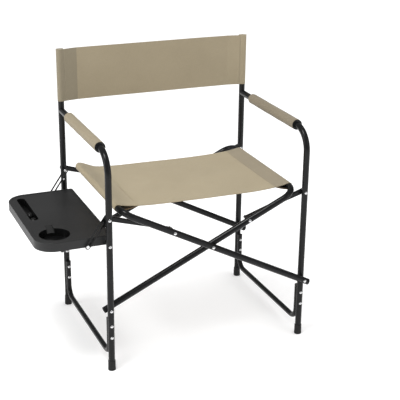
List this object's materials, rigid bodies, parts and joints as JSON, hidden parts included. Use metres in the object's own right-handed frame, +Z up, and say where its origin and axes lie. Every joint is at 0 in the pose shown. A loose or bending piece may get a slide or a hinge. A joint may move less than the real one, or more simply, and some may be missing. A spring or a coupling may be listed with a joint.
{
  "type": "folding camp chair",
  "caption": "Side-folding camp chair: black steel tube frame, beige sling seat and back, padded arms, and a fold-up side table with a cup holder.",
  "frame": {"origin": "middle of the open chair's box, on the floor, with the side table folded out", "axes": "+Z up, -Y towards the front of the seat, -X towards the side table"},
  "size_m": [0.8238, 0.5218, 0.85],
  "materials": {
    "frame_paint": "glossy black powder coat",
    "fabric": "matt woven polyester, beige",
    "webbing": "black woven webbing",
    "foam": "closed-cell foam",
    "table_plastic": "fine-textured dark grey moulded plastic",
    "cap_plastic": "satin black moulded plastic",
    "foot_rubber": "matt black rubber",
    "rivet_steel": "bright zinc-plated steel",
    "nylon": "black nylon"
  },
  "bodies": {
    "left_side_frame": {"left_rear_post": "frame_paint", "left_front_leg_arm": "frame_paint", "left_floor_brace": "frame_paint", "left_brace_plugs": "cap_plastic", "left_brace_rivets": "rivet_steel", "left_foot_caps": "foot_rubber", "left_post_plug": "cap_plastic", "left_arm_screw": "rivet_steel", "left_arm_insert": "nylon", "left_arm_foam": "foam", "left_arm_cover": "fabric", "left_arm_collar": "cap_plastic", "left_link_pivot_rivets": "rivet_steel", "left_leg_pivot_rivets": "rivet_steel", "left_leg_pivot_washers": "nylon", "left_back_sleeve": "fabric", "back_panel": "fabric", "table_hinge_pins": "rivet_steel", "table_hinge_spacers": "nylon"},
    "right_rail": {"right_rail_frame": "frame_paint", "right_rail_end_plugs": "cap_plastic", "right_link_pins": "rivet_steel", "right_link_spacers": "nylon", "right_seat_sleeve": "fabric", "crossing_rivets": "rivet_steel", "crossing_washers": "nylon", "seat_panel": "fabric", "carry_handle": "webbing"},
    "left_rail": {"left_rail_frame": "frame_paint", "left_rail_end_plugs": "cap_plastic", "left_link_pins": "rivet_steel", "left_link_spacers": "nylon", "left_seat_sleeve": "fabric"},
    "right_side_frame": {"right_rear_post": "frame_paint", "right_front_leg_arm": "frame_paint", "right_floor_brace": "frame_paint", "right_brace_plugs": "cap_plastic", "right_brace_rivets": "rivet_steel", "right_foot_caps": "foot_rubber", "right_post_plug": "cap_plastic", "right_arm_screw": "rivet_steel", "right_arm_insert": "nylon", "right_arm_foam": "foam", "right_arm_cover": "fabric", "right_arm_collar": "cap_plastic", "right_link_pivot_rivets": "rivet_steel", "right_leg_pivot_rivets": "rivet_steel", "right_leg_pivot_washers": "nylon", "right_back_sleeve": "fabric"},
    "front_left_link": {"front_left_link": "frame_paint"},
    "rear_left_link": {"rear_left_link": "frame_paint"},
    "front_right_link": {"front_right_link": "frame_paint"},
    "rear_right_link": {"rear_right_link": "frame_paint"},
    "table": {"table_tray": "table_plastic"},
    "front_strut": {"front_table_strut": "frame_paint", "front_strut_ear_rivet": "rivet_steel"},
    "rear_strut": {"rear_table_strut": "frame_paint", "rear_strut_ear_rivet": "rivet_steel"},
    "front_strut_button": {"front_strut_slide_pin": "rivet_steel"},
    "rear_strut_button": {"rear_strut_slide_pin": "rivet_steel"}
  },
  "joints": [
    {"name": "fold", "type": "hinge", "parent": "left_side_frame", "child": "right_rail", "pos_m": [-0.21688, 0, 0.191], "axis": [0, -1, 0], "range_deg": [0, 52], "deforming": ["back_panel"]},
    {"name": "crossing", "type": "hinge", "parent": "right_rail", "child": "left_rail", "pos_m": [0.08812, 0, 0.35], "axis": [0, 1, 0], "range_deg": [0, 104.05], "deforming": ["seat_panel"]},
    {"name": "right_leg_pivot", "type": "hinge", "parent": "left_rail", "child": "right_side_frame", "pos_m": [0.39312, 0, 0.191], "axis": [0, -1, 0], "range_deg": [0, 52.05]},
    {"name": "front_left_link_pivot", "type": "hinge", "parent": "left_side_frame", "child": "front_left_link", "pos_m": [-0.21688, 0, 0.47011], "axis": [0, -1, 0], "range_deg": [0, 96.12]},
    {"name": "rear_left_link_pivot", "type": "hinge", "parent": "left_side_frame", "child": "rear_left_link", "pos_m": [-0.21688, 0, 0.47011], "axis": [0, -1, 0], "range_deg": [0, 96.12]},
    {"name": "front_right_link_pivot", "type": "hinge", "parent": "right_side_frame", "child": "front_right_link", "pos_m": [0.39312, 0, 0.47011], "axis": [0, 1, 0], "range_deg": [0, 96.12]},
    {"name": "rear_right_link_pivot", "type": "hinge", "parent": "right_side_frame", "child": "rear_right_link", "pos_m": [0.39312, 0, 0.47011], "axis": [0, 1, 0], "range_deg": [0, 96.12]},
    {"name": "table_fold", "type": "hinge", "parent": "left_side_frame", "child": "table", "pos_m": [-0.21688, 0, 0.391], "axis": [0, 1, 0], "range_deg": [0, 87]},
    {"name": "front_strut_pivot", "type": "hinge", "parent": "left_side_frame", "child": "front_strut", "pos_m": [-0.21688, 0, 0.47011], "axis": [0, -1, 0], "range_deg": [0, 20.1]},
    {"name": "rear_strut_pivot", "type": "hinge", "parent": "left_side_frame", "child": "rear_strut", "pos_m": [-0.21688, 0, 0.47011], "axis": [0, -1, 0], "range_deg": [0, 20.1]},
    {"name": "front_strut_slide", "type": "slide", "parent": "front_strut", "child": "front_strut_button", "axis": [0.5635, 0, 0.8261], "range_m": [0, 0.07536]},
    {"name": "rear_strut_slide", "type": "slide", "parent": "rear_strut", "child": "rear_strut_button", "axis": [0.5635, 0, 0.8261], "range_m": [0, 0.07536]}
  ],
  "couplings": [
    {"joint": "crossing", "follows": "fold", "ratio": 2},
    {"joint": "right_leg_pivot", "follows": "fold", "ratio": 1},
    {"joint": "front_left_link_pivot", "follows": "fold", "ratio": 1.8473},
    {"joint": "rear_left_link_pivot", "follows": "fold", "ratio": 1.8473},
    {"joint": "front_right_link_pivot", "follows": "fold", "ratio": 1.8473},
    {"joint": "rear_right_link_pivot", "follows": "fold", "ratio": 1.8473},
    {"joint": "front_strut_pivot", "follows": "table_fold", "ratio": 0.23044},
    {"joint": "rear_strut_pivot", "follows": "table_fold", "ratio": 0.23044},
    {"joint": "front_strut_slide", "follows": "table_fold", "m_per_rad": 0.049593},
    {"joint": "rear_strut_slide", "follows": "table_fold", "m_per_rad": 0.049593}
  ]
}
